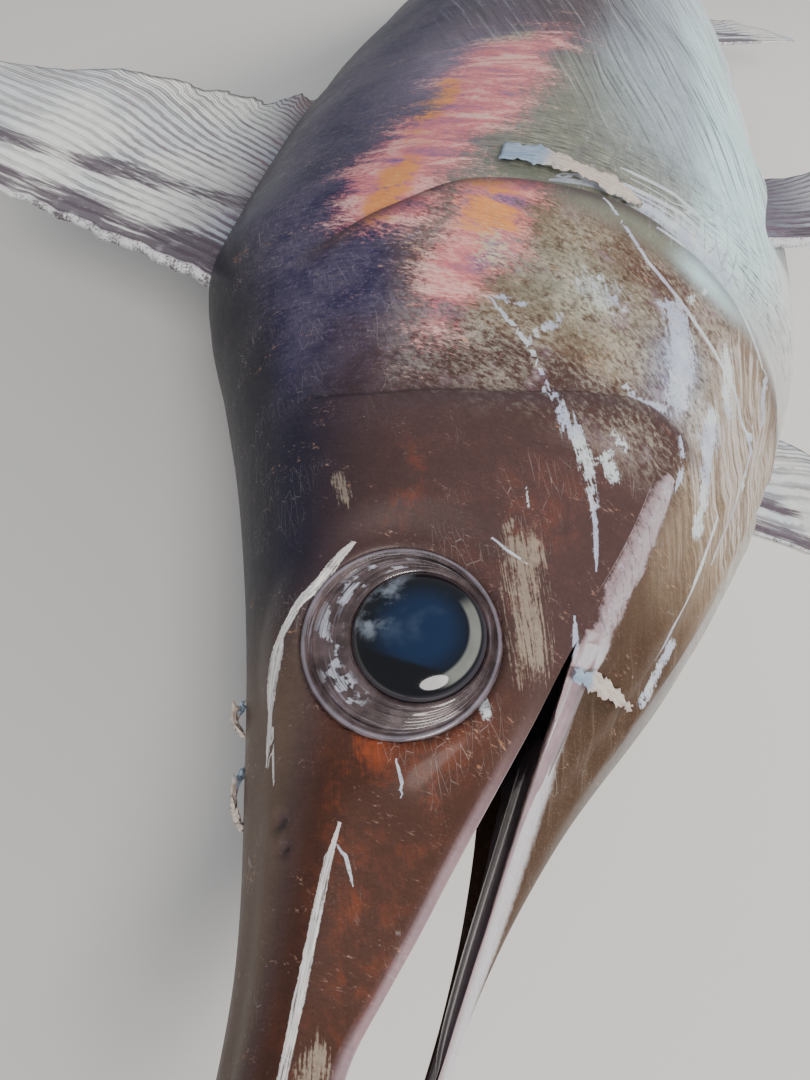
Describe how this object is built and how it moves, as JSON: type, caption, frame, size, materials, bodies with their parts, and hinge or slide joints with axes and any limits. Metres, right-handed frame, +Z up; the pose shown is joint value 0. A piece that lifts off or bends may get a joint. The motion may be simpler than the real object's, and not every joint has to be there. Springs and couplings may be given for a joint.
{
  "type": "swordfish",
  "caption": "Life-size still swordfish lying on its right side, with a long flat bill, open jaw, large dark eyes, tall stiff first dorsal fin and crescent tail.",
  "frame": {"origin": "middle of the bottom of the whole fish, on the floor it lies on", "axes": "+Y from the bill to the tail, +X from the back to the belly, +Z up to the fish's left side"},
  "size_m": [1.116, 2.907, 0.3108],
  "materials": {
    "skin": "wet smooth fish skin, dark violet brown on the back to silver and pale turquoise on the belly",
    "bill": "wet dark brown skin over bone",
    "fin": "silvery fin skin with dark purple brown rays",
    "mouth": "wet dark grey purple lining",
    "eye": "clear wet dome over a deep blue black eye"
  },
  "bodies": {
    "root": {"bill": "bill", "head": "skin", "lower_jaw": "skin", "tongue": "mouth", "gill_cover_left": "skin", "gill_cover_right": "skin", "eye_left": "eye", "eye_right": "eye", "trunk_front": "skin", "trunk_middle": "skin", "trunk_rear": "skin", "tail_stock": "skin", "keel_left": "skin", "keel_right": "skin", "dorsal_fin_first": "fin", "dorsal_fin_second": "fin", "anal_fin_first": "fin", "anal_fin_second": "fin", "pectoral_fin_left": "fin", "pectoral_fin_right": "fin", "caudal_fin_upper": "fin", "caudal_fin_lower": "fin"}
  },
  "joints": []
}
